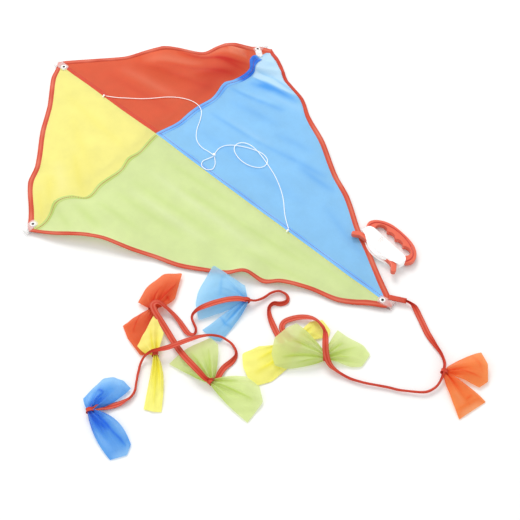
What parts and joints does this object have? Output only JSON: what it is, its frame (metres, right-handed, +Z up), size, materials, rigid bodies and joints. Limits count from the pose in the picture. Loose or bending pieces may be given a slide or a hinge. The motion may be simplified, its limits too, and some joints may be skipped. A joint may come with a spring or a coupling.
{
  "type": "diamond kite",
  "caption": "Flat diamond kite of pieced thin cloth on crossed rods, with corner pockets and eyelets, string bridle, ribbon tail with tied bows, and a hand line winder",
  "frame": {"origin": "centre of the cross fitting's flat underside, on the floor, under the point where spine and cross spar meet", "axes": "+Y along the spine towards the nose, +X along the cross spar towards the right wing as seen on the face, +Z up out of the face of the sail"},
  "size_m": [0.7875, 1.0175, 0.03],
  "materials": {
    "rod": "satin",
    "cap": "matte",
    "fitting": "satin",
    "cloth_red": "thin woven nylon",
    "cloth_yellow": "thin woven nylon",
    "cloth_green": "thin woven nylon",
    "cloth_blue": "thin woven nylon",
    "binding_tape": "stitched tape",
    "clear_strip": "clear flexible strip",
    "eyelet_white": "gloss",
    "string": "twisted",
    "ribbon": "thin non-woven",
    "bow_red": "thin non-woven",
    "bow_green": "thin non-woven",
    "bow_yellow": "thin non-woven",
    "bow_blue": "thin non-woven",
    "winder_plastic": "moulded, satin gloss"
  },
  "bodies": {
    "kite": {"binding_nose_left": "binding_tape", "binding_nose_right": "binding_tape", "binding_tail_left": "binding_tape", "binding_tail_right": "binding_tape", "bow_1_red": "bow_red", "bow_2_green": "bow_green", "bow_3_yellow": "bow_yellow", "bow_4_blue": "bow_blue", "bow_5_red": "bow_red", "bow_6_green": "bow_green", "bow_7_yellow": "bow_yellow", "bow_8_blue": "bow_blue", "bridle_front_leg": "string", "bridle_knot": "string", "bridle_rear_leg": "string", "bridle_tie_nose": "string", "bridle_tie_tail": "string", "bridle_tow_loop": "string", "centre_cross_fitting": "fitting", "cross_spar": "rod", "eyelet_nose": "eyelet_white", "eyelet_tail": "eyelet_white", "pocket_nose": "clear_strip", "pocket_tail": "clear_strip", "sail_panel_blue": "cloth_blue", "sail_panel_green": "cloth_green", "sail_panel_red": "cloth_red", "sail_panel_yellow": "cloth_yellow", "spar_cap_left": "cap", "spar_cap_right": "cap", "spine_cap_nose": "cap", "spine_cap_tail": "cap", "spine_rod": "rod", "tail_ribbon": "ribbon", "tail_ribbon_anchor": "ribbon"},
    "right_wing_pocket": {"pocket_right_wing": "clear_strip", "eyelet_right_wing": "eyelet_white", "sail_corner_right": "cloth_red", "binding_corner_right": "binding_tape"},
    "left_wing_pocket": {"pocket_left_wing": "clear_strip", "eyelet_left_wing": "eyelet_white", "sail_corner_left": "cloth_yellow", "binding_corner_left": "binding_tape"},
    "winder": {"winder_body": "winder_plastic", "flying_line_winding": "string"}
  },
  "joints": [
    {"name": "right_pocket_slide", "type": "slide", "parent": "kite", "child": "right_wing_pocket", "axis": [1, 0, 0], "range_m": [0, 0.02]},
    {"name": "left_pocket_slide", "type": "slide", "parent": "kite", "child": "left_wing_pocket", "axis": [-1, 0, 0], "range_m": [0, 0.02]},
    {"name": "winder_lift", "type": "slide", "parent": "kite", "child": "winder", "axis": [0, 0, 1], "range_m": [0, 0.2]}
  ]
}
